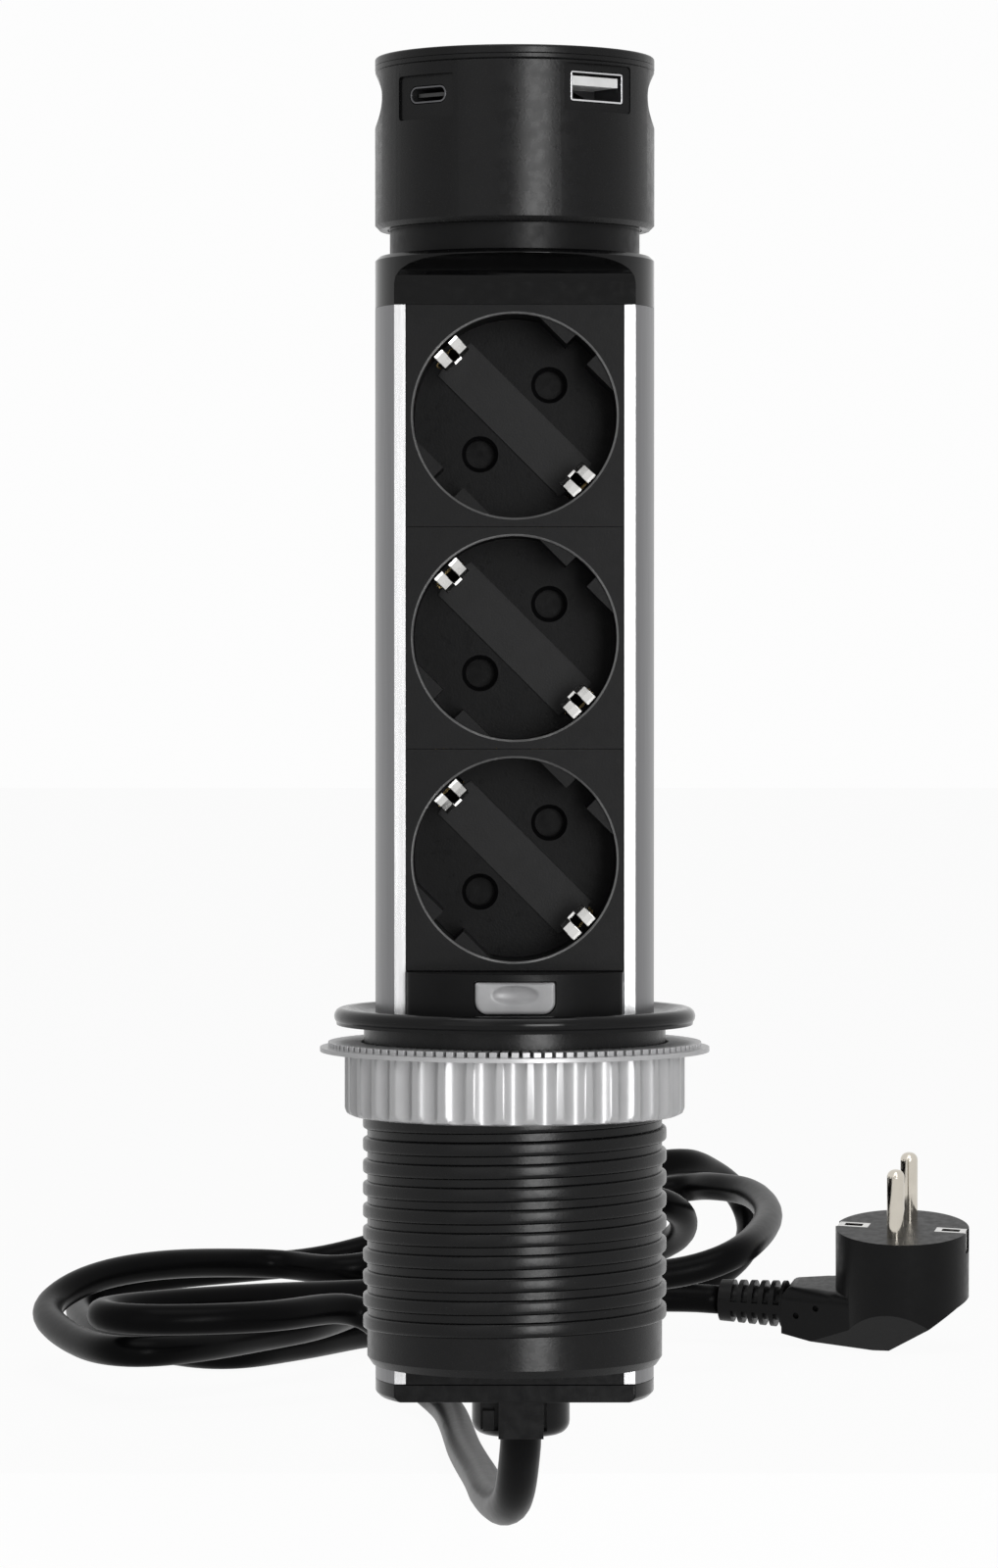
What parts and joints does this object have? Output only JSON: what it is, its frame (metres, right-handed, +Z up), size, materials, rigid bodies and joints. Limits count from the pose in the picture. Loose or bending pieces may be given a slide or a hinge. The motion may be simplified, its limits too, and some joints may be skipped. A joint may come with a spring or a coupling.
{
  "type": "pop-up furniture socket",
  "caption": "Tower of earthed power sockets with a USB charging head that slides up out of a round hole in a worktop, on a coiled mains cord with an angled plug.",
  "frame": {"origin": "centre of the flange's underside, on the tower's axis, level with the worktop's upper face", "axes": "+Z up along the tower, -Y out of the sockets, +X to the right as seen from the front"},
  "size_m": [0.2567, 0.6774, 0.3068],
  "materials": {
    "black_gloss": "gloss",
    "black_satin": "satin, fine grain",
    "silver_plastic": "satin silver-grey plastic",
    "profile_metal": "brushed, anodised",
    "steel": "plain",
    "board_green": "satin",
    "component": "matt",
    "socket_black": "satin",
    "shutter_grey": "matt",
    "nickel": "nickel plate",
    "carrier_ivory": "matt",
    "brass": "plain",
    "wire_brown": "satin",
    "wire_blue": "satin",
    "wire_green_yellow": "satin",
    "wire_red": "satin",
    "cord_black": "semi-gloss",
    "plug_black": "matt"
  },
  "bodies": {
    "housing": {"flange_ring": "black_gloss", "threaded_sleeve": "black_satin", "sleeve_thread": "black_satin", "glide_pads": "black_satin", "cord_hank": "cord_black", "plug_body": "plug_black", "plug_pins": "nickel", "plug_earth_contacts": "nickel"},
    "tower": {"tower_profile": "profile_metal", "top_cap": "black_gloss", "head_base": "black_satin", "head_shell": "black_satin", "head_lid": "black_satin", "head_screws": "steel", "usb_c_port": "steel", "usb_c_tongue": "black_satin", "usb_a_port": "steel", "usb_a_tongue": "carrier_ivory", "charger_board": "board_green", "charger_parts": "component", "socket_insert_1": "socket_black", "socket_insert_2": "socket_black", "socket_insert_3": "socket_black", "pin_plate_1": "socket_black", "pin_plate_2": "socket_black", "pin_plate_3": "socket_black", "earth_clips_1": "nickel", "earth_clips_2": "nickel", "earth_clips_3": "nickel", "shutter_springs": "steel", "contact_carrier_1": "carrier_ivory", "contact_carrier_2": "carrier_ivory", "contact_carrier_3": "carrier_ivory", "live_busbar": "brass", "neutral_busbar": "brass", "earth_rails": "brass", "live_wire": "wire_brown", "neutral_wire": "wire_blue", "earth_wire": "wire_green_yellow", "charger_wires": "wire_red", "lower_block": "socket_black", "button_spring": "steel", "filler_panel": "black_satin", "base_cap": "black_satin", "base_screws": "steel", "cable_gland": "black_satin", "gland_nut": "black_satin", "cord_lead": "cord_black"},
    "thrust_ring": {"thrust_ring": "silver_plastic"},
    "clamp_nut": {"clamp_nut": "silver_plastic"},
    "button": {"release_button": "silver_plastic"},
    "shutter_1": {"shutter_1": "shutter_grey"},
    "shutter_2": {"shutter_2": "shutter_grey"},
    "shutter_3": {"shutter_3": "shutter_grey"}
  },
  "joints": [
    {"name": "tower_slide", "type": "slide", "parent": "housing", "child": "tower", "axis": [0, 0, 1], "range_m": [-0.168, 0]},
    {"name": "button_press", "type": "slide", "parent": "tower", "child": "button", "axis": [0, 1, 0], "range_m": [0, 0.0025], "stiffness_N_per_m": 300, "deforming": ["button_spring"]},
    {"name": "shutter_1_turn", "type": "hinge", "parent": "tower", "child": "shutter_1", "pos_m": [0, 0.0076, 0.03225], "axis": [0, 1, 0], "range_deg": [0, 42], "stiffness_Nm_per_rad": 0.004},
    {"name": "shutter_2_turn", "type": "hinge", "parent": "tower", "child": "shutter_2", "pos_m": [0, 0.0076, 0.07475], "axis": [0, 1, 0], "range_deg": [0, 42], "stiffness_Nm_per_rad": 0.004},
    {"name": "shutter_3_turn", "type": "hinge", "parent": "tower", "child": "shutter_3", "pos_m": [0, 0.0076, 0.11725], "axis": [0, 1, 0], "range_deg": [0, 42], "stiffness_Nm_per_rad": 0.004},
    {"name": "ring_travel", "type": "slide", "parent": "housing", "child": "thrust_ring", "axis": [0, 0, 1], "range_m": [-0.04, 0.003]},
    {"name": "nut_turn", "type": "hinge", "parent": "thrust_ring", "child": "clamp_nut", "pos_m": [0, 0, -0.011], "axis": [0, 0, 1], "range_deg": [-3360, 260]}
  ],
  "couplings": [
    {"joint": "nut_turn", "follows": "ring_travel", "rad_per_m": 1461.2}
  ]
}
